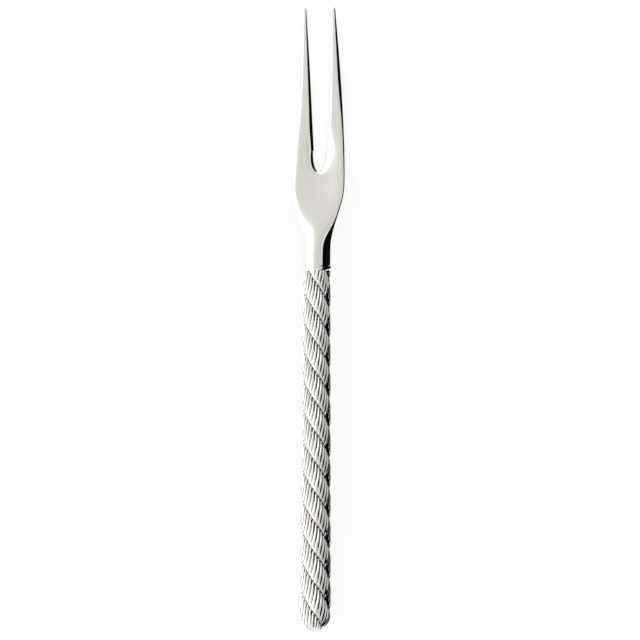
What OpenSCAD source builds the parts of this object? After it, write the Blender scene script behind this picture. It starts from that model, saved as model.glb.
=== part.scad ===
// Two-tined cold meat fork, made in one piece of metal, with a grip shaped as a four-strand rope.
// The fork lies along Y with its tines towards +Y and its hollow front up, as it rests on a table:
// on the butt of the grip and on the undersides of the two tines.
// Its surface is lofted in one skin from rings of points, from the tine tips to the butt.
// A place along the fork is given by its distance from the tine tips.

/* [Grip] */
// Length of the rope grip
grip_len = 115.5; // [95:0.5:140]
// Diameter over the strands at the collar
grip_d_front = 9.1; // [7:0.1:11]
// Diameter over the strands where the butt begins
grip_d_back = 10.2; // [7:0.1:12]
// Length of the rounded butt at the end of the grip
butt_len = 5.8; // [3:0.1:8]

/* [Strands] */
// Number of strands laid round the grip
strands = 4; // [3:1:5]
// Length in which a strand goes once round, next to the collar
lay_front = 37.6; // [32:0.1:50]
// Length in which a strand goes once round, at the butt
lay_back = 39.5; // [32:0.1:50]
// Depth of the valley between two strands
strand_depth = 0.5; // [0.1:0.05:0.7]
// Where the first valley crosses the top of the grip, in strands from the collar
strand_start = 0.38; // [0:0.01:1]

/* [Yarns] */
// Number of yarns that a ring round the grip crosses
yarns = 23; // [16:1:26]
// How far a yarn leans round the grip on its way across a strand, in yarn widths
yarn_lean = 1.97; // [1:0.01:2.3]
// The part of that lean that is tucked into the valleys, in yarn widths
yarn_tuck = 0.33; // [0:0.01:0.6]
// Depth of the groove between two yarns
yarn_depth = 0.25; // [0.05:0.01:0.45]
// Turn of the yarn pattern round the grip, in yarn widths
yarn_start = 0.16; // [0:0.01:1]

/* [Collar] */
// Length of the plain collar in front of the grip
collar_len = 1.8; // [1:0.1:4]
// How far the crown of the collar stands above the grip
collar_crown = 0.24; // [0:0.01:0.5]
// Depth of the fine line on either side of the collar
collar_line = 0.18; // [0.02:0.01:0.3]

/* [Neck] */
// Diameter of the neck at the collar
neck_d = 8.9; // [6:0.1:10]
// Length of the neck that keeps its width
neck_len = 5.7; // [3:0.1:20]
// Length of the neck that stays fully round, next to the collar
neck_round = 1.7; // [0.5:0.1:3]
// Height of the neck's middle above the table
neck_height = 11.2; // [7:0.1:20]

/* [Palm] */
// Width across the palm
palm_w = 16.6; // [13:0.1:22]
// Length over which the palm spreads from the neck to its full width
palm_len = 20; // [14:0.1:40]
// Distance from the widest place of the palm to the end of the slot
palm_shoulder = 5; // [3:0.1:12]
// Thickness of the palm
palm_t = 2.8; // [1.6:0.1:4]
// Length over which the round neck is flattened to the palm
forge_len = 14.5; // [10:0.1:20]
// Radius of the hollow across the front of the palm
hollow_r = 32; // [25:1:120]
// Squareness of the palm's section, where 2 is an ellipse
palm_square = 2.9; // [2:0.1:4]

/* [Tines] */
// Length of the slot between the tines
slot_len = 52; // [35:0.1:80]
// Width of the slot at its root
slot_root_w = 3.8; // [3:0.1:6]
// Length of the rounded end of the slot
slot_round = 6; // [2:0.1:10]
// Width of the gap between the tips
tip_gap = 8.5; // [6:0.1:11]
// Width of a tip
tip_w = 0.72; // [0.3:0.01:1.5]
// Thickness of a tip
tip_t = 0.6; // [0.3:0.01:1.5]
// Length of the rounding at the point of a tip
tip_point = 0.6; // [0.1:0.01:1]
// Height of the tips above the table
tip_height = 7.3; // [2:0.1:20]
// Breadth of the rounded edge behind the end of the slot
slot_edge = 1.7; // [0.8:0.1:3]
// Share of a tine's outer half that is a flat face, before its flank
tine_face_out = 0.34; // [0.1:0.01:0.7]
// Share of a tine's inner half that is a flat face, before its flank
tine_face_in = 0.5; // [0.1:0.01:0.7]

/* [Hidden] */

// Places along the fork, from the tips
root_at = slot_len - slot_round;
edge_at = slot_len + slot_edge;
full_at = slot_len + palm_shoulder;
neck_at = full_at + palm_len;
head_len = neck_at + neck_len;
grip_at = head_len + collar_len;
fork_len = grip_at + grip_len;
belly_at = 0.85 * slot_len;

// Shape of the taper from the palm to the tips, and of the curve of the thickness
taper_power = 1.4;
swell_power = 0.38;
// Where the hollow across the front begins
hollow_from = 0.54 * slot_len;
// Squareness of a tine's flanks next to its tip and at the slot's root, where 2 is an ellipse
tine_bevel = 1.4;
root_square = 1.6;
// Stretches of a tine over which its flat face and flanks turn into a round side
bevel_out = [0.4 * slot_len, 0.8 * slot_len];
bevel_in = [0.7 * slot_len, root_at];
// Share of the points of a side that lie on its flat face, above and below
face_share = 1 / 9;

// Steps of the skin
ring_step = 10;
flank_step = 20;
tine_rows = 11;
slot_rows = 5;
palm_rows = 15;
head_cols = 360 / ring_step;
cols = 2 * yarns;

// Rows across one strand, as shares of its width, beginning in the valley
strand_rows = [0, 0.13, 0.5, 0.87];
row_count = len(strand_rows);
// Share of a strand's width in which its edge is rounded down into the valley
strand_edge = 0.14;
// Share of a strand's width from which the grooves run out
fade_from = 0.67;

// The butt ends in a small flat
butt_turn = 78;
butt_at = grip_len - butt_len;
butt_arc = (butt_len + grip_d_back / 2) / 2 * PI / 180;
skin_len = butt_at + butt_turn * butt_arc;

// Slope of the grip, which lies on its last strand just before the butt and is held up at the neck
pitch = lay_front / strands;
grip_slope = (neck_height - grip_d_back / 2) / (collar_len + butt_at - pitch / 12);

// Rise from 0 to 1, level at both ends
function rise(t) = t <= 0 ? 0 : t >= 1 ? 1 : t * t * (3 - 2 * t);

function mix(a, b, t) = a + (b - a) * t;

// Half of the width, the thickness and the slot at a distance d from the tips
tip_out = tip_gap / 2 + tip_w;
function half_w(d) =
    d < full_at
    ? mix(tip_out, palm_w / 2, 1 - pow(1 - d / full_at, taper_power))
    : mix(neck_d / 2, palm_w / 2, rise((neck_at - d) / palm_len));
function half_t(d) =
    mix(mix(tip_t, palm_t, pow(min(d / slot_len, 1), swell_power)),
        neck_d, rise((d - head_len + neck_round + forge_len) / forge_len)) / 2;
function half_slot(d) = mix(tip_gap, slot_root_w, d / root_at) / 2;
function square(d) = mix(2, palm_square, rise((neck_at - d) / palm_len));

// Hollow across the front: it deepens from the tips to the palm and runs out in the neck
function hollow(x, d) =
    x * x / 2 / hollow_r
    * rise((d - hollow_from) / (slot_len - hollow_from)) * rise((neck_at - d) / palm_len);

// A place on a side at an angle from its top: how far across from the ridge and how far up, as
// shares. A round side is an oval, and a bevelled one has a flat face and a flank.
function round_side(a, power) =
    [pow(abs(sin(a)), 2 / power), sign(cos(a)) * pow(abs(cos(a)), 2 / power)];
function flank_side(a, face) =
    let (f = round_side(a, tine_bevel))
    [mix(face, 1, f[0]), f[1]];
function bevelled_side(a, face) =
    let (s = a / 180)
    s < face_share ? [face * s / face_share, 1]
    : s > 1 - face_share ? [face * (1 - s) / face_share, -1]
    : flank_side(180 * (s - face_share) / (1 - 2 * face_share), face);
function side_place(a, face, power, ends, d) =
    mix(bevelled_side(a, face), round_side(a, power), rise((d - ends[0]) / (ends[1] - ends[0])));

// Height of the fork's middle: tines that curve up, a belly, a gooseneck and the straight grip.
// The belly is as high as its lowest point lies under the middle.
tine_x = (half_slot(belly_at) + half_w(belly_at)) / 2;
function side_low(edge, face, power, ends) =
    min([for (a = [90:ring_step:180])
        let (s = side_place(a, face, power, ends, belly_at))
        hollow(mix(tine_x, edge, s[0]), belly_at) + half_t(belly_at) * s[1]]);
belly_height = -min(
    side_low(half_w(belly_at), tine_face_out, square(belly_at), bevel_out),
    side_low(half_slot(belly_at), tine_face_in, root_square, bevel_in));
neck_run = head_len - belly_at;
function gooseneck(t) =
    mix(belly_height, neck_height, rise(t)) + (t * t - t * t * t) * grip_slope * neck_run;
function middle(d) =
    d < belly_at ? mix(belly_height, tip_height, pow(1 - d / belly_at, 2))
    : d < head_len ? gooseneck((d - belly_at) / neck_run)
    : neck_height - (d - head_len) * grip_slope;

// A point of the skin from its plan place [x, d] and its height above the fork's middle
function place(p, z) = [p[0] + 0, fork_len / 2 - p[1], middle(p[1]) + z];

// A point of the head on the line from its ridge to its edge
function head_point(ridge, edge, s) =
    let (p = mix(ridge, edge, s[0]))
    place(p, hollow(p[0], p[1]) + half_t(p[1]) * s[1]);

// Right half of a section of the palm or neck, from the top round the edge to the bottom
function outer_half(ridge, edge, side) =
    let (d = edge[1])
    [for (a = [0:ring_step:180])
        let (p = head_point(ridge, edge, side_place(a, tine_face_out, square(d), bevel_out, d)))
        [side * p[0] + 0, p[1], p[2]]];

// Whole ring of the palm or neck
function palm_ring(d) =
    let (right = outer_half([0, d], [half_w(d), d], 1))
    let (left = outer_half([0, d], [half_w(d), d], -1))
    concat(right, [for (i = [len(left) - 2:-1:1]) left[i]]);

// Flank of a tine that faces the slot, from the bottom ridge back to the top ridge
function slot_flank(ridge, edge, side) =
    [for (a = [180 - flank_step:-flank_step:flank_step])
        let (p = head_point(ridge, edge, side_place(a, tine_face_in, root_square, bevel_in, edge[1])))
        [side * p[0] + 0, p[1], p[2]]];

// Ring of a tine where the slot is straight
function tine_ring(d, side) =
    let (mid = [(half_slot(d) + half_w(d)) / 2, d])
    concat(outer_half(mid, [half_w(d), d], side), slot_flank(mid, [half_slot(d), d], side));

// Ring of a tine round the end of the slot, at an angle from its side to its bottom
function root_ring(a, side) =
    let (foot = [slot_root_w / 2 * cos(a), root_at + slot_round * sin(a)])
    let (out = [cos(a) / slot_root_w * 2, sin(a) / slot_round])
    let (edge = mix((half_w(root_at) - half_slot(root_at)) / 2, slot_edge, sin(a)))
    let (ridge = foot + out / norm(out) * edge)
    let (d = mix(root_at, edge_at, a / 90))
    concat(outer_half(ridge, [half_w(d), d], side), slot_flank(ridge, foot, side));

function tine_skin(side) = concat(
    [for (i = [0:tine_rows - 1]) tine_ring(mix(tip_point, root_at, pow(i / tine_rows, 1.3)), side)],
    [for (i = [0:slot_rows]) root_ring(90 * i / slot_rows, side)]);

function tip_end(side) = [side * (half_slot(0) + half_w(0)) / 2, fork_len / 2, middle(0)];

palm_skin = [for (i = [0:palm_rows]) palm_ring(mix(edge_at, head_len, i / palm_rows))];

// Width of a yarn in degrees round the grip
yarn_turn = 360 / (yarns + strands * yarn_lean);

// How the pitch of the strands grows along the grip
pitch_gain = (lay_back - lay_front) / strands / skin_len;
function strand_place(n) =
    abs(pitch_gain) < 0.00001 ? n * pitch : pitch * (exp(pitch_gain * n) - 1) / pitch_gain;
function strands_passed(s) =
    abs(pitch_gain) < 0.00001 ? s / pitch : ln(1 + pitch_gain * s / pitch) / pitch_gain;
strand_end = strands_passed(skin_len);

// Row j counts the rows of all strands, one strand after another
function strand_of(j) = floor(j / row_count);
function share_of(j) = strand_rows[j - row_count * strand_of(j)];
function lean_of(j) =
    strand_of(j) * yarn_lean
    + (share_of(j) == 0 ? 0 : yarn_tuck / 2 + (yarn_lean - yarn_tuck) * share_of(j));

// A knot of the rope where column c meets row j: turn round the grip, strands from the collar
// and depth under the strands' crowns. Even columns are grooves and odd ones the yarns' crowns.
function knot(c, j) =
    let (turn = yarn_turn * (c / 2 + yarn_start - lean_of(j)))
    let (share = share_of(j))
    let (valley = max(1 - min(share, 1 - share) / strand_edge, 0))
    let (full = 1 - rise((share - fade_from) / (1 - fade_from)))
    let (groove = c % 2 == 0 && share > 0 ? yarn_depth * full : 0)
    [turn, strand_of(j) + share + turn * strands / 360 + strand_start, strand_depth * valley + groove];

// A knot as a point of the skin: along the tapered grip, then round the butt
function radius_at(s) = mix(grip_d_front, grip_d_back, min(s / butt_at, 1)) / 2;
function grip_point(k) =
    let (s = strand_place(k[1]))
    let (a = max(s - butt_at, 0) / butt_arc)
    let (r = (radius_at(s) - k[2]) * cos(a))
    let (along = s < butt_at ? s : butt_at + butt_len * sin(a))
    place([r * sin(k[0]), grip_at + along], r * cos(k[0]));

// Where the line between two knots reaches the end n of the grip
function cut_knot(a, b, n) = mix(a, b, (n - a[1]) / (b[1] - a[1]));

// Column c of the grip, cut off at the collar and at the butt's flat
first_row = -row_count * ceil(yarns * yarn_turn * strands / 360 + 3);
last_row = row_count * ceil(2 * strand_end);
function column(c) =
    let (line = [for (j = [first_row:last_row]) knot(c, j)])
    let (inner = [for (i = [0:len(line) - 1]) if (line[i][1] > 0.01 && line[i][1] < strand_end - 0.01) i])
    let (a = inner[0])
    let (b = inner[len(inner) - 1])
    concat([cut_knot(line[a - 1], line[a], 0)], [for (i = inner) line[i]],
           [cut_knot(line[b], line[b + 1], strand_end)]);

columns = [for (c = [0:cols - 1]) column(c)];
grip_rows = max([for (c = columns) len(c)]);

// Every column gets the same number of knots: a short one has its last stretch divided
function even_column(line) =
    let (n = len(line), more = grip_rows - n)
    concat([for (i = [0:n - 2]) line[i]],
           [for (i = [1:more + 1]) mix(line[n - 2], line[n - 1], i / (more + 1))]);
even_columns = [for (c = columns) even_column(c)];
grip_skin = [for (r = [0:grip_rows - 1]) [for (c = even_columns) grip_point(c[r])]];
collar_turns = [for (c = even_columns) c[0][0]];

// Rings of the collar: a fine line, the crown and another fine line, each as [share, height]
collar_profile = [
    [0.0, -collar_line], [0.1, 0], [0.35, collar_crown * 0.8], [0.65, collar_crown * 0.8],
    [0.88, 0], [1.0, -collar_line - strand_depth / 2]];
function collar_ring(p) =
    let (r = mix(neck_d, grip_d_front, p[0]) / 2 + p[1])
    let (d = head_len + collar_len * p[0])
    [for (a = collar_turns) place([r * sin(a), d], r * cos(a))];
collar_skin = [for (i = [0:len(collar_profile) - 2]) collar_ring(collar_profile[i])];

// Triangles between the rings of a skin whose first point has the number first. Each four-sided
// patch is divided along its shorter diagonal, which keeps to the rows of a strand.
function patch(points, a, b, c, d) =
    norm(points[a] - points[c]) < norm(points[b] - points[d])
    ? [[a, b, c], [a, c, d]]
    : [[a, b, d], [b, c, d]];
function skin_faces(points, first, rows, n, flip) =
    [for (r = [0:rows - 2], i = [0:n - 1])
        let (a = first + r * n + i, b = first + r * n + (i + 1) % n)
        each (flip ? patch(points, a, a + n, b + n, b) : patch(points, a, b, b + n, a + n))];

// Triangles from the last ring of the neck to the ring of the collar, which has other angles
function collar_turn_at(i) =
    i < 0 ? collar_turns[cols + i] - 360 : collar_turns[i % cols] + (i < cols ? 0 : 360);
function nearest_head(i) =
    round((collar_turn_at(i) + collar_turn_at(i + 1)) / 2 / ring_step);
function wrap(i) = i - head_cols * floor(i / head_cols);
function joint_faces(head_first, collar_first) =
    [for (i = [0:cols - 1])
        let (from = nearest_head(i - 1), to = nearest_head(i))
        each concat(
            [[collar_first + i, head_first + wrap(to), collar_first + (i + 1) % cols]],
            [for (t = [from:1:to - 1]) [collar_first + i, head_first + wrap(t), head_first + wrap(t + 1)]])];

// Triangles from a ring to one point
function cap_faces(first, n, tip, flip) =
    [for (c = [0:n - 1])
        let (a = first + c, b = first + (c + 1) % n)
        flip ? [a, b, tip] : [b, a, tip]];

function flat(rings) = [for (r = rings, p = r) p];

module fork() {
    right = tine_skin(1);
    left = tine_skin(-1);
    n = len(right[0]);
    rows = len(right);
    body_skin = concat(collar_skin, grip_skin);
    left_first = rows * n;
    palm_first = 2 * left_first;
    neck_first = palm_first + palm_rows * head_cols;
    collar_first = neck_first + head_cols;
    end_first = collar_first + (len(body_skin) - 1) * cols;
    tips = end_first + cols;
    points = concat(
        flat(right), flat(left), flat(palm_skin), flat(body_skin),
        [tip_end(1), tip_end(-1), place([0, fork_len], 0)]);
    faces = concat(
        skin_faces(points, 0, rows, n, false),
        skin_faces(points, left_first, rows, n, true),
        skin_faces(points, palm_first, palm_rows + 1, head_cols, false),
        joint_faces(neck_first, collar_first),
        skin_faces(points, collar_first, len(body_skin), cols, false),
        cap_faces(0, n, tips, false),
        cap_faces(left_first, n, tips + 1, true),
        cap_faces(end_first, cols, tips + 2, true));
    color("silver")
        polyhedron(points, faces, convexity = 10);
}

fork();
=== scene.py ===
# %% [markdown]
# # A cold meat fork of polished steel
# The fork is one casting: two long tines, a hollowed palm, a round neck with a plain collar, and a
# grip that imitates a rope of four strands. A cast rope could be painted on a rod with a bump
# texture, but polished metal shows every fault of that, so here the strands and yarns are real
# geometry. The sizes are those of the CAD model, in millimetres, and each point is turned into
# metres where it is placed.

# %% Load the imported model
import math
import bmesh
import bpy
from mathutils import Matrix, Vector


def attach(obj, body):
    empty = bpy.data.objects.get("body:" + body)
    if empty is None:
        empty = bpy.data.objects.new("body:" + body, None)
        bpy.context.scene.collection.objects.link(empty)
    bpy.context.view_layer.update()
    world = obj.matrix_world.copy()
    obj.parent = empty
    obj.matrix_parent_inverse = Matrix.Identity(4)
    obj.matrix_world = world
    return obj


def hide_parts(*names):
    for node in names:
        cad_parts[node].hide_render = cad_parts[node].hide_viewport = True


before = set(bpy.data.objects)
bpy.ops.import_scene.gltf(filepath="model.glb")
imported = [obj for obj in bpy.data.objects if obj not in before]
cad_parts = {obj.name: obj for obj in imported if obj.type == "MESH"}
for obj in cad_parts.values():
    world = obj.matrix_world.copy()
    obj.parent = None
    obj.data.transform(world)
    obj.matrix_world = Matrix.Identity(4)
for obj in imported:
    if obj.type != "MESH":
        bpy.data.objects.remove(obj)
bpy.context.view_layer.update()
MM = 0.001

# %% [markdown]
# ## Lengths along the fork
# A smith thinks of a fork from its tips: so much for the slot, so much for the palm, then the neck,
# the collar and the grip. A place on the fork is therefore given by its distance from the tips.

# %% Sizes of the head
slot_len = 52.0
slot_round = 6.0
slot_root_w = 3.8
slot_edge = 1.7
tip_gap = 8.5
tip_w = 0.72
tip_t = 0.6
tip_point = 0.6
tip_height = 7.3
palm_shoulder = 5.0
palm_len = 20.0
palm_w = 16.6
palm_t = 2.8
palm_square = 2.9
hollow_r = 32.0
hollow_from = 0.54 * slot_len
tine_square = 1.6
tine_face_out = 0.34
tine_face_in = 0.5
tine_bevel = 1.4
bevel_out_from = 0.4 * slot_len
bevel_out_to = 0.8 * slot_len
bevel_in_from = 0.7 * slot_len
forge_len = 14.5
neck_round = 1.7
neck_len = 5.7
neck_d = 8.9
neck_height = 11.2
taper_power = 1.4
swell_power = 0.38
print("Palm:", palm_w, "mm wide and", palm_t, "mm thick, slot:", slot_len, "mm long")

# %% Sizes of the collar and the grip
collar_len = 1.8
collar_crown = 0.24
collar_line = 0.25
collar_back_line = 0.4
grip_len = 115.5
grip_d_front = 9.1
grip_d_back = 10.2
butt_len = 5.8
strands = 4
lay_front = 37.6
lay_back = 39.5
strand_bulge = 0.15
strand_edge_depth = 0.4
strand_front_edge = 0.16
strand_back_edge = 0.24
strand_start = 0.38
yarns = 23
yarn_lean = 1.97
yarn_tuck = 0.22
yarn_bow = 0.35
yarn_depth = 0.36
yarn_start = 0.25
print("Rope:", strands, "strands, with", yarns, "yarns counted round the grip")

# %% Places along the fork
root_at = slot_len - slot_round
edge_at = slot_len + slot_edge
full_at = slot_len + palm_shoulder
neck_at = full_at + palm_len
head_len = neck_at + neck_len
grip_at = head_len + collar_len
fork_len = grip_at + grip_len
belly_at = 0.85 * slot_len
butt_at = grip_len - butt_len
pitch = lay_front / strands
# The grip is held up at the neck and lies on its last strand, just before the butt
grip_slope = (neck_height - grip_d_back / 2) / (collar_len + butt_at - pitch / 12)
print("Length of the fork:", fork_len, "mm, slope of the grip:", round(grip_slope, 4))

# %% [markdown]
# ## The section at each place
# The blank is cut to its outline, forged thinner towards the tips and pressed hollow. Each of these
# is one plain function of the distance from the tips. Smooth functions matter more than fine
# meshes: a mirror finish doubles every change of slope.


# %% Curves that shape the blank
def mix(a, b, t):
    return a + (b - a) * t


def rise(t):
    t = min(max(t, 0.0), 1.0)
    return t * t * (3 - 2 * t)


def half_width(d):
    if d < full_at:
        return mix(tip_gap / 2 + tip_w, palm_w / 2, 1 - (1 - d / full_at) ** taper_power)
    return mix(neck_d / 2, palm_w / 2, rise((neck_at - d) / palm_len))


def half_thickness(d):
    blade = mix(tip_t, palm_t, min(d / slot_len, 1.0) ** swell_power)
    return mix(blade, neck_d, rise((d - head_len + neck_round + forge_len) / forge_len)) / 2


def half_slot(d):
    return mix(tip_gap, slot_root_w, d / root_at) / 2


def squareness(d):
    return mix(2.0, palm_square, rise((neck_at - d) / palm_len))


def hollow(x, d):
    """How far the pressed front has risen at a distance x from its middle."""
    from_tines = rise((d - hollow_from) / (slot_len - hollow_from))
    from_neck = rise((neck_at - d) / palm_len)
    return x * x / 2 / hollow_r * from_tines * from_neck


print("Hollow at the slot:", round(hollow(half_width(slot_len), slot_len), 2), "mm deep")

# %% Round and bevelled sides
outer_steps = 52
flank_steps = 31
face_share = 1 / 8


def round_side(turn, power):
    """A place on a rounded side: how far across from the ridge and how far up, as shares."""
    across = abs(math.sin(turn)) ** (2 / power)
    up = math.copysign(abs(math.cos(turn)) ** (2 / power), math.cos(turn))
    return Vector((across, up))


def bevelled_side(turn, face):
    """A place on a side with a flat face and a bevelled flank, above and below."""
    share = turn / math.pi
    if share < face_share:
        return Vector((face * share / face_share, 1.0))
    if share > 1 - face_share:
        return Vector((face * (1 - share) / face_share, -1.0))
    flank = round_side(math.pi * (share - face_share) / (1 - 2 * face_share), tine_bevel)
    return Vector((mix(face, 1.0, flank.x), flank.y))


def outer_side(turn, d):
    roundness = rise((d - bevel_out_from) / (bevel_out_to - bevel_out_from))
    return bevelled_side(turn, tine_face_out).lerp(round_side(turn, squareness(d)), roundness)


def slot_side(turn, d):
    roundness = rise((d - bevel_in_from) / (root_at - bevel_in_from))
    return bevelled_side(turn, tine_face_in).lerp(round_side(turn, tine_square), roundness)


print("Steps down the outer side:", outer_steps, "and down the slot's side:", flank_steps)

# %% Height of the fork's middle line
belly_ridge = (half_slot(belly_at) + half_width(belly_at)) / 2
below = []
for i in range(outer_steps + 1):
    turn = math.pi * i / outer_steps
    outer = (outer_side(turn, belly_at), half_width(belly_at))
    inner = (slot_side(turn, belly_at), half_slot(belly_at))
    for side, edge in (outer, inner):
        x = mix(belly_ridge, edge, side.x)
        below.append(hollow(x, belly_at) + half_thickness(belly_at) * side.y)
belly_height = -min(below)
neck_run = head_len - belly_at


def middle(d):
    if d < belly_at:
        return mix(belly_height, tip_height, (1 - d / belly_at) ** 2)
    if d < head_len:
        t = (d - belly_at) / neck_run
        return mix(belly_height, neck_height, rise(t)) + (t * t - t**3) * grip_slope * neck_run
    return neck_height - (d - head_len) * grip_slope


def place(x, d, z):
    """A point of the fork in metres, z being its height over the middle line."""
    return Vector((x, fork_len / 2 - d, middle(d) + z)) * MM


print("Height of the belly:", round(middle(belly_at), 2), "mm")
print("Height of the neck:", round(middle(head_len), 2), "mm")

# %% [markdown]
# ## Rings of the head
# A section is laid out as a ring of points: round the outer edge from the top to the bottom, and on a
# tine back up along the slot. The head is the same on both sides, so only its right half is made.

# %% Points of one ring
def head_point(ridge, edge, side):
    x = mix(ridge[0], edge[0], side.x)
    d = mix(ridge[1], edge[1], side.x)
    return place(x, d, hollow(x, d) + half_thickness(d) * side.y)


def outer_points(ridge, edge):
    """The points from the top ridge round the outer edge to the bottom ridge."""
    turns = [math.pi * i / outer_steps for i in range(outer_steps + 1)]
    return [head_point(ridge, edge, outer_side(a, edge[1])) for a in turns]


def flank_points(ridge, edge):
    """The points from the bottom ridge back up along the slot."""
    turns = [math.pi * (1 - i / (flank_steps + 1)) for i in range(1, flank_steps + 1)]
    return [head_point(ridge, edge, slot_side(a, edge[1])) for a in turns]


def tine_ring(d):
    ridge = ((half_slot(d) + half_width(d)) / 2, d)
    return outer_points(ridge, (half_width(d), d)) + flank_points(ridge, (half_slot(d), d))


def root_ring(angle):
    """A ring that turns round the end of the slot, from its side at 0 to its bottom at 90 degrees."""
    foot = Vector((slot_root_w / 2 * math.cos(angle), root_at + slot_round * math.sin(angle)))
    out = Vector((math.cos(angle) / slot_root_w * 2, math.sin(angle) / slot_round)).normalized()
    breadth = mix((half_width(root_at) - half_slot(root_at)) / 2, slot_edge, math.sin(angle))
    ridge = foot + out * breadth
    d = mix(root_at, edge_at, angle / (math.pi / 2))
    return outer_points(ridge, (half_width(d), d)) + flank_points(ridge, foot)


print("Points in the ring of a tine:", len(tine_ring(10.0)), "and of half the palm:", outer_steps + 1)


# %% Helpers for modelling
def deselect_all():
    if bpy.context.object and bpy.context.object.mode != "OBJECT":
        bpy.ops.object.mode_set(mode="OBJECT")
    bpy.ops.object.select_all(action="DESELECT")


def edit(piece):
    deselect_all()
    bpy.context.view_layer.objects.active = piece
    piece.select_set(True)
    bpy.ops.object.mode_set(mode="EDIT")
    bpy.ops.mesh.select_mode(type="VERT")
    bpy.ops.mesh.select_all(action="DESELECT")


def select_ring(piece, ring):
    mesh = bmesh.from_edit_mesh(piece.data)
    mesh.verts.ensure_lookup_table()
    bpy.ops.mesh.select_all(action="DESELECT")
    for i in ring:
        mesh.verts[i].select_set(True)
    mesh.select_flush_mode()
    bmesh.update_edit_mesh(piece.data)


def extrude_ring(piece, ring, points):
    """Extrudes the selected ring, and sets each new point on its section."""
    bpy.ops.mesh.extrude_region_move()
    mesh = bmesh.from_edit_mesh(piece.data)
    mesh.verts.ensure_lookup_table()
    mesh.verts.index_update()
    made = []
    for i, point in zip(ring, points):
        old = mesh.verts[i]
        new = next(v for v in (e.other_vert(old) for e in old.link_edges) if v.select)
        new.co = point
        made.append(new.index)
    bmesh.update_edit_mesh(piece.data)
    return made


print("Helpers for rings:", select_ring.__name__, "and", extrude_ring.__name__)

# %% [markdown]
# ## The right half of the head
# A circle with one point for each point of a section is set on the tip of the tine, closed with a
# point, and then extruded from section to section along the tine and round the end of the slot.
# From there only the outer edge is extruded on, for the palm and the neck.

# %% Start the tine at its tip
ring_points = outer_steps + 1 + flank_steps
deselect_all()
bpy.ops.mesh.primitive_circle_add(
    vertices=ring_points,
    radius=tip_w * MM,
    fill_type="NOTHING",
    location=(0, fork_len / 2 * MM, 0),
)
head = bpy.context.object
head.name = "fork_body"
edit(head)
mesh = bmesh.from_edit_mesh(head.data)
mesh.verts.ensure_lookup_table()
origin = head.matrix_world.translation.copy()
for vertex, point in zip(mesh.verts, tine_ring(tip_point)):
    vertex.co = point - origin
bmesh.update_edit_mesh(head.data)
bpy.ops.object.mode_set(mode="OBJECT")
bpy.ops.object.transform_apply(location=True, rotation=True, scale=True)
print("Ring at the tip:", len(head.data.vertices), "points")

# %% Close the tip with a point
edit(head)
bpy.ops.mesh.select_all(action="SELECT")
bpy.ops.mesh.edge_face_add()
bpy.ops.mesh.poke()
mesh = bmesh.from_edit_mesh(head.data)
mesh.verts.ensure_lookup_table()
mesh.verts[-1].co = place((half_slot(0) + half_width(0)) / 2, 0, 0)
bmesh.update_edit_mesh(head.data)
ring = list(range(ring_points))
select_ring(head, ring)
print("The tip is closed round", len(ring), "points")

# %% Extrude the tine
tine_rows = 56
rows_to_tip = 1.3
slot_rows = 16
for i in range(1, tine_rows + 1):
    ring = extrude_ring(head, ring, tine_ring(mix(tip_point, root_at, (i / tine_rows) ** rows_to_tip)))
for i in range(1, slot_rows + 1):
    ring = extrude_ring(head, ring, root_ring(math.pi / 2 * i / slot_rows))
print("Tine and end of the slot:", tine_rows + slot_rows, "rings")

# %% Extrude the palm and the neck
palm_rows = 60
ring = ring[: outer_steps + 1]
select_ring(head, ring)
for i in range(1, palm_rows + 1):
    d = mix(edge_at, head_len, i / palm_rows)
    ring = extrude_ring(head, ring, outer_points((0.0, d), (half_width(d), d)))
print("Palm and neck:", palm_rows, "rings")

# %% [markdown]
# ## The collar
# The collar hides the place where the plain neck meets the rope. On the real fork it is a low ring
# with a fine turned line on either side. It goes on from the neck as more rings, on the lathe's
# profile.

# %% Extrude the collar
collar_rise = 0.18
collar_fall = 0.74
collar_shoulder = 0.08
collar_power = 2.5
collar_shares = [0.04, 0.11, 0.18, 0.2, 0.24, 0.3, 0.38, 0.46]
collar_shares += [0.54, 0.62, 0.68, 0.72, 0.74, 0.82, 0.9, 0.97]


def collar_height(share):
    """The lathe's profile: up from the front line, over the crown and down into the back line."""
    if share < collar_rise:
        return mix(-collar_line, collar_shoulder, share / collar_rise)
    if share > collar_fall:
        return mix(collar_shoulder, -collar_back_line, (share - collar_fall) / (1 - collar_fall))
    from_middle = abs(2 * (share - collar_rise) / (collar_fall - collar_rise) - 1)
    return mix(collar_crown, collar_shoulder, from_middle**collar_power)


def collar_points(share, height):
    radius = mix(neck_d, grip_d_front, share) / 2 + height
    turns = [math.pi * i / outer_steps for i in range(outer_steps + 1)]
    return [place(radius * math.sin(a), head_len + collar_len * share, radius * math.cos(a)) for a in turns]


ring = extrude_ring(head, ring, collar_points(0.0, -collar_line))
for share in collar_shares:
    ring = extrude_ring(head, ring, collar_points(share, collar_height(share)))
bpy.ops.object.mode_set(mode="OBJECT")
print("Collar:", len(collar_shares) + 1, "rings")

# %% Mirror the half
bpy.ops.object.modifier_add(type="MIRROR")
mirror = head.modifiers[-1]
mirror.use_axis = (True, False, False)
mirror.use_mirror_merge = True
mirror.merge_threshold = 0.001 * MM
bpy.ops.object.modifier_apply(modifier=mirror.name)
print("Head and collar:", len(head.data.polygons), "faces")

# %% [markdown]
# ## The rope as a flat sheet
# A rope is laid twice: yarns are twisted into strands and strands into the rope. Unrolled and laid
# flat, that becomes a plain pattern of leaning yarns in bands, and every yarn is alike. So the grip
# starts as a flat grid with a column of points for each part of a yarn's round back and a row for
# each part of a strand. Its points are moved along the yarns, which lean one way within a strand,
# and pressed down into the grooves between yarns and the valleys between strands.

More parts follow.
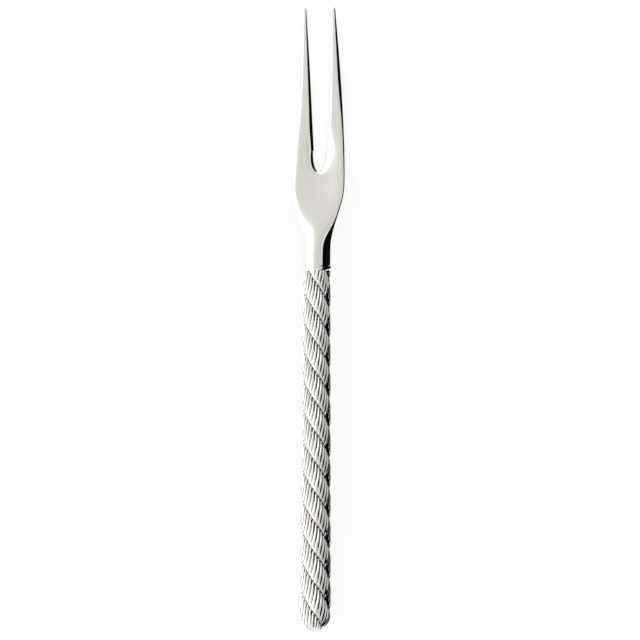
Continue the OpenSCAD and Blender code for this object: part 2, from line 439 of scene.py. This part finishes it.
# %% Steps across a yarn and across a strand
yarn_shares = [0.0, 0.05, 0.11, 0.18, 0.26, 0.35, 0.44, 0.54, 0.64, 0.74, 0.83, 0.92]
yarn_peak = 0.44
strand_shares = [0.0, 0.02, 0.045, 0.08, 0.14, 0.23, 0.33, 0.44, 0.55, 0.66, 0.76, 0.85, 0.92, 0.965]
yarn_turn = 2 * math.pi / (yarns + strands * yarn_lean)
yarn_crown = 0.4
edge_crown = 0.4
bulge_offset = 0.35
tuck_run = 0.02
fade_in = 0.03
fade_from = 0.2
fade_to = 0.95


def round_off(away, crown):
    """Depth under a crown, from 0 to 1: round as far as the share that is the crown, then straight."""
    round_part = min(away, crown) ** 2 / (2 * crown)
    return (round_part + max(away - crown, 0.0)) / (1 - crown / 2)


def groove_depth(share):
    """The yarn's back is round, and steeper to the left of its crown than to the right."""
    away = max(1 - share / yarn_peak, (share - yarn_peak) / (1 - yarn_peak))
    return yarn_depth * round_off(away, yarn_crown)


def valley_depth(share):
    """The strand bulges a little, and is rounded down at its edges."""
    away = max(1 - share / strand_front_edge, 1 - (1 - share) / strand_back_edge, 0.0)
    bulge = strand_bulge * ((2 * share - 1) ** 2 - bulge_offset)
    return bulge + strand_edge_depth * round_off(away, edge_crown)


def lean(strand, share):
    """How many yarns a yarn has moved round the grip, part of it tucked into the valleys."""
    tucked = (rise(share / tuck_run) + rise((share - 1 + tuck_run) / tuck_run)) / 2
    bowed = share * mix(yarn_bow, 1.0, share)
    return strand * yarn_lean + yarn_tuck * tucked + (yarn_lean - yarn_tuck) * bowed


def groove_fade(share):
    """A groove starts at full depth under one valley and runs out towards the next."""
    faded = min(max((share - fade_from) / (fade_to - fade_from), 0.0), 1.0)
    return rise(share / fade_in) * (1 - faded * faded)


print("A yarn takes up", round(math.degrees(yarn_turn), 2), "degrees of the grip")

# %% [markdown]
# ## Patina and painted shade
# A buffing wheel can't follow the bottoms of the grooves, so they stay dark, and the grooves and
# valleys lie in shade as well: the darkness here is partly patina and partly painted shade. An Ambient
# Occlusion node could find them, but it is slow and not every exporter keeps it. On the sheet each
# point's place in its groove is known, so the darkness is worked out there and kept as an attribute.
# It lies on both sides of each groove and fades with it. In a valley it fills the back of the one
# strand, and in front of the next it leaves the crowns of the yarns clean.

# %% Where the patina and painted shade lie
# Widths and runs of the patina and painted shade in the grooves and valleys
patina_shade_left = 0.07
patina_shade_right = 0.16
patina_shade_gain = 1.7
patina_shade_fade = 0.4
patina_shade_front = 0.033
patina_shade_front_run = 0.03
patina_shade_back = 0.92
patina_shade_back_run = 0.045
clean_crown = 0.3
clean_slope = 3.5


def patina_and_shade(yarn_share, share):
    """How much patina and painted shade lie at this share across the yarn and across the strand, from 0 to
    1.
    """
    near_groove = max(1 - yarn_share / patina_shade_left, 1 - (1 - yarn_share) / patina_shade_right)
    in_groove = groove_fade(share) ** patina_shade_fade * rise(patina_shade_gain * near_groove)
    off_crown = rise(abs(yarn_share - clean_crown) * clean_slope)
    at_front = rise((patina_shade_front - share) / patina_shade_front_run) * off_crown
    at_back = rise((share - patina_shade_back) / patina_shade_back_run)
    return max(in_groove, at_front, at_back)


# The share of patina and painted shade at the start of a groove
print("Patina at the start of a groove:", patina_and_shade(0.0, 2 * fade_in))

# %% How the strands are laid along the grip
butt_turn = math.radians(86)
cad_butt_turn = math.radians(78)
butt_arc = (butt_len + grip_d_back / 2) / 2
skin_len = butt_at + butt_turn * butt_arc
cad_skin_len = butt_at + cad_butt_turn * butt_arc
pitch_gain = (lay_back - lay_front) / strands / cad_skin_len


def strands_passed(s):
    """How many strands lie between the collar and this distance from it."""
    return math.log(1 + pitch_gain * s / pitch) / pitch_gain


def place_of(passed):
    """The distance from the collar at which so many strands are passed."""
    return pitch * (math.exp(pitch_gain * passed) - 1) / pitch_gain


strand_end = strands_passed(skin_len)
print("Strands passed from the collar to the end of the butt:", round(strand_end, 2))

# %% Lay out the sheet
first_strand = -6
last_strand = 18
sheet_cols = yarns * len(yarn_shares)
sheet_rows = (last_strand - first_strand) * len(strand_shares)
deselect_all()
bpy.ops.mesh.primitive_grid_add(x_subdivisions=sheet_cols, y_subdivisions=sheet_rows, size=1.0)
rope = bpy.context.object
rope.name = "rope_sheet"
# Each point of the sheet keeps its share of patina and painted shade as an attribute
darkness = rope.data.attributes.new("patina_and_shade", "FLOAT", "POINT")
for vertex in rope.data.vertices:
    col = round((vertex.co.x + 0.5) * sheet_cols)
    row = round((vertex.co.y + 0.5) * sheet_rows)
    yarn, across = divmod(col, len(yarn_shares))
    strand, along = divmod(row, len(strand_shares))
    strand += first_strand
    share = strand_shares[along]
    turn = yarn_turn * (yarn + yarn_shares[across] + yarn_start - lean(strand, share))
    passed = strand + share + turn * strands / (2 * math.pi) + strand_start
    height = -valley_depth(share) - groove_depth(yarn_shares[across]) * groove_fade(share)
    vertex.co = (turn, passed, height)
    darkness.data[vertex.index].value = patina_and_shade(yarn_shares[across], share)
print("Sheet of the rope:", len(rope.data.vertices), "points")

# %% Cut the sheet to length
on_cut = 1e-5
edit(rope)
bpy.ops.mesh.select_all(action="SELECT")
bpy.ops.mesh.bisect(plane_co=(0, 0, 0), plane_no=(0, 1, 0), clear_inner=True, threshold=on_cut)
bpy.ops.mesh.select_all(action="SELECT")
bpy.ops.mesh.bisect(plane_co=(0, strand_end, 0), plane_no=(0, 1, 0), clear_outer=True, threshold=on_cut)
bpy.ops.object.mode_set(mode="OBJECT")
print("Cut between the collar and the butt:", len(rope.data.vertices), "points")

# %% [markdown]
# ## Wrapping the sheet
# A Simple Deform modifier can roll a sheet into a plain tube. This grip is thicker at its butt, its
# strands grow longer towards it, and the rope is drawn in over the rounded end, so the sheet's points
# are set in code: across the sheet is the turn round the grip, along it is the place on the grip.


# %% Roll the sheet round the grip
def radius_at(s):
    return mix(grip_d_front, grip_d_back, min(s / butt_at, 1.0)) / 2


def grip_point(turn, passed, height):
    """The place on the fork of a point of the sheet, drawn in over the butt at the end."""
    s = place_of(passed)
    angle = max(s - butt_at, 0.0) / butt_arc
    radius = (radius_at(s) + height) * math.cos(angle)
    along = s if s < butt_at else butt_at + butt_len * math.sin(angle)
    return place(radius * math.sin(turn), grip_at + along, radius * math.cos(turn))


merge_distance = 0.002 * MM
for vertex in rope.data.vertices:
    vertex.co = grip_point(*vertex.co)
edit(rope)
bpy.ops.mesh.select_all(action="SELECT")
bpy.ops.mesh.remove_doubles(threshold=merge_distance)
bpy.ops.object.mode_set(mode="OBJECT")
print("Rope round the grip:", len(rope.data.vertices), "points")

# %% Close the butt
edit(rope)
bpy.ops.mesh.select_non_manifold(
    extend=False,
    use_wire=False,
    use_multi_face=False,
    use_non_contiguous=False,
    use_verts=False,
)
mesh = bmesh.from_edit_mesh(rope.data)
for vertex in mesh.verts:
    if vertex.co.y > 0:
        vertex.select_set(False)
mesh.select_flush_mode()
bmesh.update_edit_mesh(rope.data)
bpy.ops.mesh.edge_face_add()
bpy.ops.mesh.poke()
bpy.ops.object.mode_set(mode="OBJECT")
print("Butt closed:", len(rope.data.polygons), "faces in the grip")

# %% Join the grip to the collar
def rim_in_order(points):
    """The points of an open rim with their turns round the grip, from the lowest turn up."""
    centre = middle(grip_at) * MM
    turns = [(math.atan2(v.co.x, v.co.z - centre), v) for v in points]
    turns.sort(key=lambda pair: pair[0])
    return turns + [(turns[0][0] + 2 * math.pi, turns[0][1])]


def zip_rims(mesh, front, back):
    """Closes the gap between two rims with triangles, always stepping on at the nearer point."""
    i = j = 0
    while i < len(front) - 1 or j < len(back) - 1:
        a, b = front[i][1], back[j][1]
        if j == len(back) - 1 or (i < len(front) - 1 and front[i + 1][0] < back[j + 1][0]):
            i += 1
            mesh.faces.new((a, front[i][1], b))
        else:
            j += 1
            mesh.faces.new((a, back[j][1], b))


head_count = len(head.data.vertices)
deselect_all()
rope.select_set(True)
head.select_set(True)
bpy.context.view_layer.objects.active = head
bpy.ops.object.join()
edit(head)
mesh = bmesh.from_edit_mesh(head.data)
open_points = {v for e in mesh.edges if e.is_boundary for v in e.verts}
front = rim_in_order([v for v in open_points if v.index < head_count])
back = rim_in_order([v for v in open_points if v.index >= head_count])
zip_rims(mesh, front, back)
bmesh.update_edit_mesh(head.data)
print("Joined a rim of", len(front) - 1, "points to one of", len(back) - 1)

# %% Turn the faces outwards and smooth them
smooth_below = math.radians(60)
bpy.ops.mesh.select_all(action="SELECT")
bpy.ops.mesh.normals_make_consistent(inside=False)
bpy.ops.object.mode_set(mode="OBJECT")
bpy.ops.object.shade_smooth_by_angle(angle=smooth_below)
check = bmesh.new()
check.from_mesh(head.data)
triangles = sum(len(f.verts) - 2 for f in check.faces)
open_edges = sum(not e.is_manifold for e in check.edges)
print("Fork:", len(check.verts), "points,", triangles, "triangles,", open_edges, "open edges")
print("Volume:", round(check.calc_volume() / MM**3), "mm3")
check.free()

# %% Hand the fork to the frame
fork = head
fork.name = "fork_visual"
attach(fork, "root")
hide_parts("fork")
print("Piece:", fork.name, "rides on root and stands for the node fork")

# %% [markdown]
# ## Shader arithmetic
# A finish is written as a sum of plain terms. A small class stands for one socket of a shader, so
# that a sum or product of sockets adds the Math nodes by itself.


# %% A socket that can be reckoned with
class Socket:
    def __init__(self, tree, output=None):
        self.tree = tree
        self.output = output

    def node(self, kind, settings=None, sockets=None, output=0):
        made = self.tree.nodes.new(kind)
        for name, value in (settings or {}).items():
            setattr(made, name, value)
        for name, value in (sockets or {}).items():
            if isinstance(value, Socket):
                self.tree.links.new(value.output, made.inputs[name])
            else:
                made.inputs[name].default_value = value
        return Socket(self.tree, made.outputs[output] if made.outputs else None)

    def maths(self, operation, a, b=0.0):
        return self.node("ShaderNodeMath", {"operation": operation}, {0: a, 1: b})

    def __add__(self, other):
        return self.maths("ADD", self, other)

    def __radd__(self, other):
        return self.maths("ADD", other, self)

    def __sub__(self, other):
        return self.maths("SUBTRACT", self, other)

    def __rsub__(self, other):
        return self.maths("SUBTRACT", other, self)

    def __mul__(self, other):
        return self.maths("MULTIPLY", self, other)

    def __rmul__(self, other):
        return self.maths("MULTIPLY", other, self)

    def at_most(self, top):
        return self.maths("MINIMUM", self, top)

    def between(self, low, high):
        """0 below low, 1 above high, and a smooth step in between."""
        return self.node(
            "ShaderNodeMapRange",
            {"interpolation_type": "SMOOTHSTEP"},
            {"Value": self, "From Min": low, "From Max": high, "To Min": 0.0, "To Max": 1.0},
        )


def new_material(name):
    material = bpy.data.materials.new(name)
    material.use_nodes = True
    material.node_tree.nodes.clear()
    return material, Socket(material.node_tree)


def finish_material(tree, surface):
    tree.node("ShaderNodeOutputMaterial", {}, {"Surface": surface})


print("Helpers for finishes:", new_material.__name__, "and", finish_material.__name__)

# %% [markdown]
# ## Polished steel
# The buffing wheel leaves a mirror on everything that it reaches, with very fine lines along the
# fork, a little haze here and there from handling, and less polish and a darker tone deep in the
# grooves of the rope, partly patina and partly painted shade.

# %% The finish of the fork
mix_factor, mix_first, mix_second, mix_output = 0, 6, 7, 2
clean_steel = (0.955, 0.948, 0.935, 1.0)
# Near-black for the patina and painted shade in the rope's grooves and valleys
dark_patina_and_shade = (0.03, 0.029, 0.028, 1.0)
lines_scale = (7000.0, 260.0, 7000.0)
bump_strength = 0.02
bump_depth = 0.02
haze_scale = 55.0
haze_from, haze_to = 0.4, 0.75
mirror_roughness = 0.03
haze_roughness = 0.03
lines_roughness = 0.015
patina_shade_roughness = 0.15
steel, tree = new_material("polished_steel")
where = tree.node("ShaderNodeTexCoord", output="Object")
haze = tree.node(
    "ShaderNodeTexNoise",
    {},
    {"Vector": where, "Scale": haze_scale, "Detail": 3.0, "Roughness": 0.55},
)
stretched = tree.node("ShaderNodeMapping", {}, {"Vector": where, "Scale": lines_scale})
lines = tree.node(
    "ShaderNodeTexNoise",
    {},
    {"Vector": stretched, "Scale": 1.0, "Detail": 2.0, "Roughness": 0.5},
)
# The attribute from the sheet mixes in the near-black: partly patina, partly painted shade
dark = tree.node("ShaderNodeAttribute", {"attribute_name": "patina_and_shade"}, output="Fac")
tone = tree.node(
    "ShaderNodeMix",
    {"data_type": "RGBA"},
    {mix_factor: dark, mix_first: clean_steel, mix_second: dark_patina_and_shade},
    output=mix_output,
)
roughness = mirror_roughness + haze_roughness * haze.between(haze_from, haze_to)
roughness = roughness + lines_roughness * lines + patina_shade_roughness * dark
bump = tree.node(
    "ShaderNodeBump",
    {},
    {"Height": lines, "Strength": bump_strength, "Distance": bump_depth * MM},
)
metal = tree.node(
    "ShaderNodeBsdfPrincipled",
    {},
    {"Base Color": tone, "Metallic": 1.0, "Roughness": roughness, "Normal": bump},
)
finish_material(tree, metal)
fork.data.materials.clear()
fork.data.materials.append(steel)
print("Finish:", steel.name)

# %% [markdown]
# ## The studio
# Polished metal shows its surroundings, so they are its light. The fork lies on white, in a white
# room. A pale grey panel hangs over it, bright at its left end and with a light strip at its right
# end. A black flag stands to the right and reaches in along the floor, which draws the dark edges.
# It keeps off the grip a little, so that the lowest yarns show the white floor. A thin card stands
# between the tines. The panel, the flag and the card show only in the metal.


# %% White floor
def card_mesh(name, points, faces):
    mesh = bpy.data.meshes.new(name)
    mesh.from_pydata(points, [], faces)
    card = bpy.data.objects.new(name, mesh)
    bpy.context.scene.collection.objects.link(card)
    return card


def only_in_reflections(card):
    card.visible_camera = False
    card.visible_diffuse = False
    card.visible_shadow = False
    card.visible_transmission = False


pure_white = (1.0, 1.0, 1.0, 1.0)
floor_albedo = 0.15
floor_half = 4.0
floor = card_mesh(
    "floor",
    [(x * floor_half, y * floor_half, 0.0) for x, y in ((-1, -1), (1, -1), (1, 1), (-1, 1))],
    [(0, 1, 2, 3)],
)
white, tree = new_material("white_floor")
seen = tree.node("ShaderNodeLightPath", output="Is Camera Ray")
for ray in ("Is Glossy Ray", "Is Transmission Ray"):
    seen = seen + tree.node("ShaderNodeLightPath", output=ray)
paint = tree.node("ShaderNodeBsdfDiffuse", {}, {"Color": (floor_albedo, floor_albedo, floor_albedo, 1.0)})
glow = tree.node("ShaderNodeEmission", {}, {"Color": pure_white, "Strength": seen * (1 - floor_albedo)})
finish_material(tree, tree.node("ShaderNodeAddShader", {}, {0: paint, 1: glow}))
floor.data.materials.append(white)
print("Floor:", 2 * floor_half, "m square")

# %% Grey panel overhead
panel_height = 0.6
panel_left = -75
panel_right = 54.7
card_half = 2.0


def panel_x(degrees):
    """Where a line from the fork at this angle from straight up meets the panel."""
    return panel_height * math.tan(math.radians(degrees))


panel = card_mesh(
    "panel",
    [
        (panel_x(panel_left), -card_half, panel_height),
        (panel_x(panel_left), card_half, panel_height),
        (panel_x(panel_right), card_half, panel_height),
        (panel_x(panel_right), -card_half, panel_height),
    ],
    [(0, 1, 2, 3)],
)
only_in_reflections(panel)
print("Panel from", round(panel_x(panel_left), 2), "to", round(panel_x(panel_right), 2), "m")

# %% Shades of the panel from left to right
panel_tone = 0.6
panel_colour = (1.0, 0.967, 0.935, 1.0)
bright_from, bright_to, bright_gain = -10, -40, 0.75
slant_from, slant_to, slant_gain = 38, -15, 0.16
strip_from, strip_to, strip_gain = 40, 45, 0.25
grey, tree = new_material("grey_panel")
where = tree.node("ShaderNodeTexCoord", output="Object")
x = tree.node("ShaderNodeSeparateXYZ", {}, {"Vector": where}, output="X")
bright = 1 - x.between(panel_x(bright_to), panel_x(bright_from))
slant_run = panel_x(slant_from) - panel_x(slant_to)
slant = ((panel_x(slant_from) - x) * (1 / slant_run)).at_most(1.0)
strip = x.between(panel_x(strip_from), panel_x(strip_to))
shade = panel_tone + slant * slant_gain + bright * bright_gain + strip * strip_gain
finish_material(tree, tree.node("ShaderNodeEmission", {}, {"Color": panel_colour, "Strength": shade}))
panel.data.materials.append(grey)
print("Panel's colour:", panel_colour[:3])

# %% Black flag to the right
flag_reach = 0.55
flag_top = flag_reach / math.tan(math.radians(panel_right))
flag_low = 0.05 * MM
flag_rows = 24
flag_turn = math.radians(68)
flag_albedo = 0.004


def beside_tine(d):
    """The middle of the right tine."""
    return (half_slot(d) + half_width(d)) / 2


def beside_grip(d):
    """The place on the floor that the grip mirrors at the flag's turn, seen from straight above."""
    radius = grip_d_front / 2
    drop = middle(d) + radius * math.cos(flag_turn)
    return radius * math.sin(flag_turn) - drop * math.tan(2 * flag_turn)


def floor_point(x, d):
    return (x * MM, (fork_len / 2 - d) * MM, flag_low)


under_tine = [mix(0.0, slot_len, i / flag_rows) for i in range(flag_rows + 1)]
near_side = [(beside_tine(0.0) * MM, card_half, flag_low)]
near_side += [floor_point(beside_tine(d), d) for d in under_tine]
near_side += [floor_point(0.0, d) for d in (edge_at, head_len)]
near_side += [floor_point(beside_grip(d), d) for d in (grip_at, fork_len)]
near_side += [(beside_grip(fork_len) * MM, -card_half, flag_low)]
far_side = [(flag_reach, y, flag_low) for _, y, _ in near_side]
top_side = [(flag_reach, y, flag_top) for _, y, _ in near_side]
rows = len(near_side)
flag = card_mesh(
    "flag",
    near_side + far_side + top_side,
    [(k + i, k + i + 1, k + rows + i + 1, k + rows + i) for k in (0, rows) for i in range(rows - 1)],
)
only_in_reflections(flag)
black, tree = new_material("black_flag")
soot = tree.node("ShaderNodeBsdfDiffuse", {}, {"Color": (flag_albedo, flag_albedo, flag_albedo, 1.0)})
finish_material(tree, soot)
flag.data.materials.append(black)
print("Flag", round(flag_top, 2), "m high")

# %% Card in the slot, black to the left and white to the right
slot_card_top = 2.4
card_gap = 0.05 * MM
past_tips = 4 * MM
slot_places = [(fork_len / 2 * MM + past_tips, slot_card_top + middle(0.0))]
slot_places += [((fork_len / 2 - d) * MM, slot_card_top + middle(d)) for d in under_tine if d < root_at]
card_white, tree = new_material("white_card")
finish_material(tree, tree.node("ShaderNodeEmission", {}, {"Color": pure_white, "Strength": 1.0}))
for name, x, coat in (("slot_card_black", -card_gap, black), ("slot_card_white", card_gap, card_white)):
    low = [(x, y, flag_low) for y, _ in slot_places]
    high = [(x, y, top * MM) for y, top in slot_places]
    rows = len(low)
    card = card_mesh(name, low + high, [(i, i + 1, rows + i + 1, rows + i) for i in range(rows - 1)])
    only_in_reflections(card)
    card.data.materials.append(coat)
print("Card in the slot:", len(slot_places), "rows")

# %% White room
world = bpy.data.worlds.new("white_room")
bpy.context.scene.world = world
world.use_nodes = True
world.node_tree.nodes.clear()
tree = Socket(world.node_tree)
room = tree.node("ShaderNodeBackground", {}, {"Color": pure_white, "Strength": 1.0})
tree.node("ShaderNodeOutputWorld", {}, {"Surface": room})
print("Room:", world.name)

# %% [markdown]
# ## The camera
# The photographer looked straight down from far away, so a long lens is right. The camera stood a
# little to the fork's right, and was turned by half a degree.

# %% Camera over the fork
camera_distance = 1.2
camera_lean = math.radians(4.7)
camera_turn = math.radians(0.49)
film_width = 36.0
view_width = 205.06
aim = Vector((0.91, -0.19, 6.0)) * MM
camera = bpy.data.objects.new("camera", bpy.data.cameras.new("camera"))
bpy.context.scene.collection.objects.link(camera)
camera.data.sensor_width = film_width
camera.data.lens = film_width * camera_distance / (view_width * MM)
camera.data.clip_start = 0.01
camera.data.clip_end = 20.0
turn = Matrix.Rotation(camera_lean, 4, "Y") @ Matrix.Rotation(camera_turn, 4, "Z")
camera.matrix_world = Matrix.Translation(aim) @ turn @ Matrix.Translation((0, 0, camera_distance))
bpy.context.scene.camera = camera
bpy.context.scene.view_settings.view_transform = "Standard"
print("Lens:", round(camera.data.lens, 1), "mm")
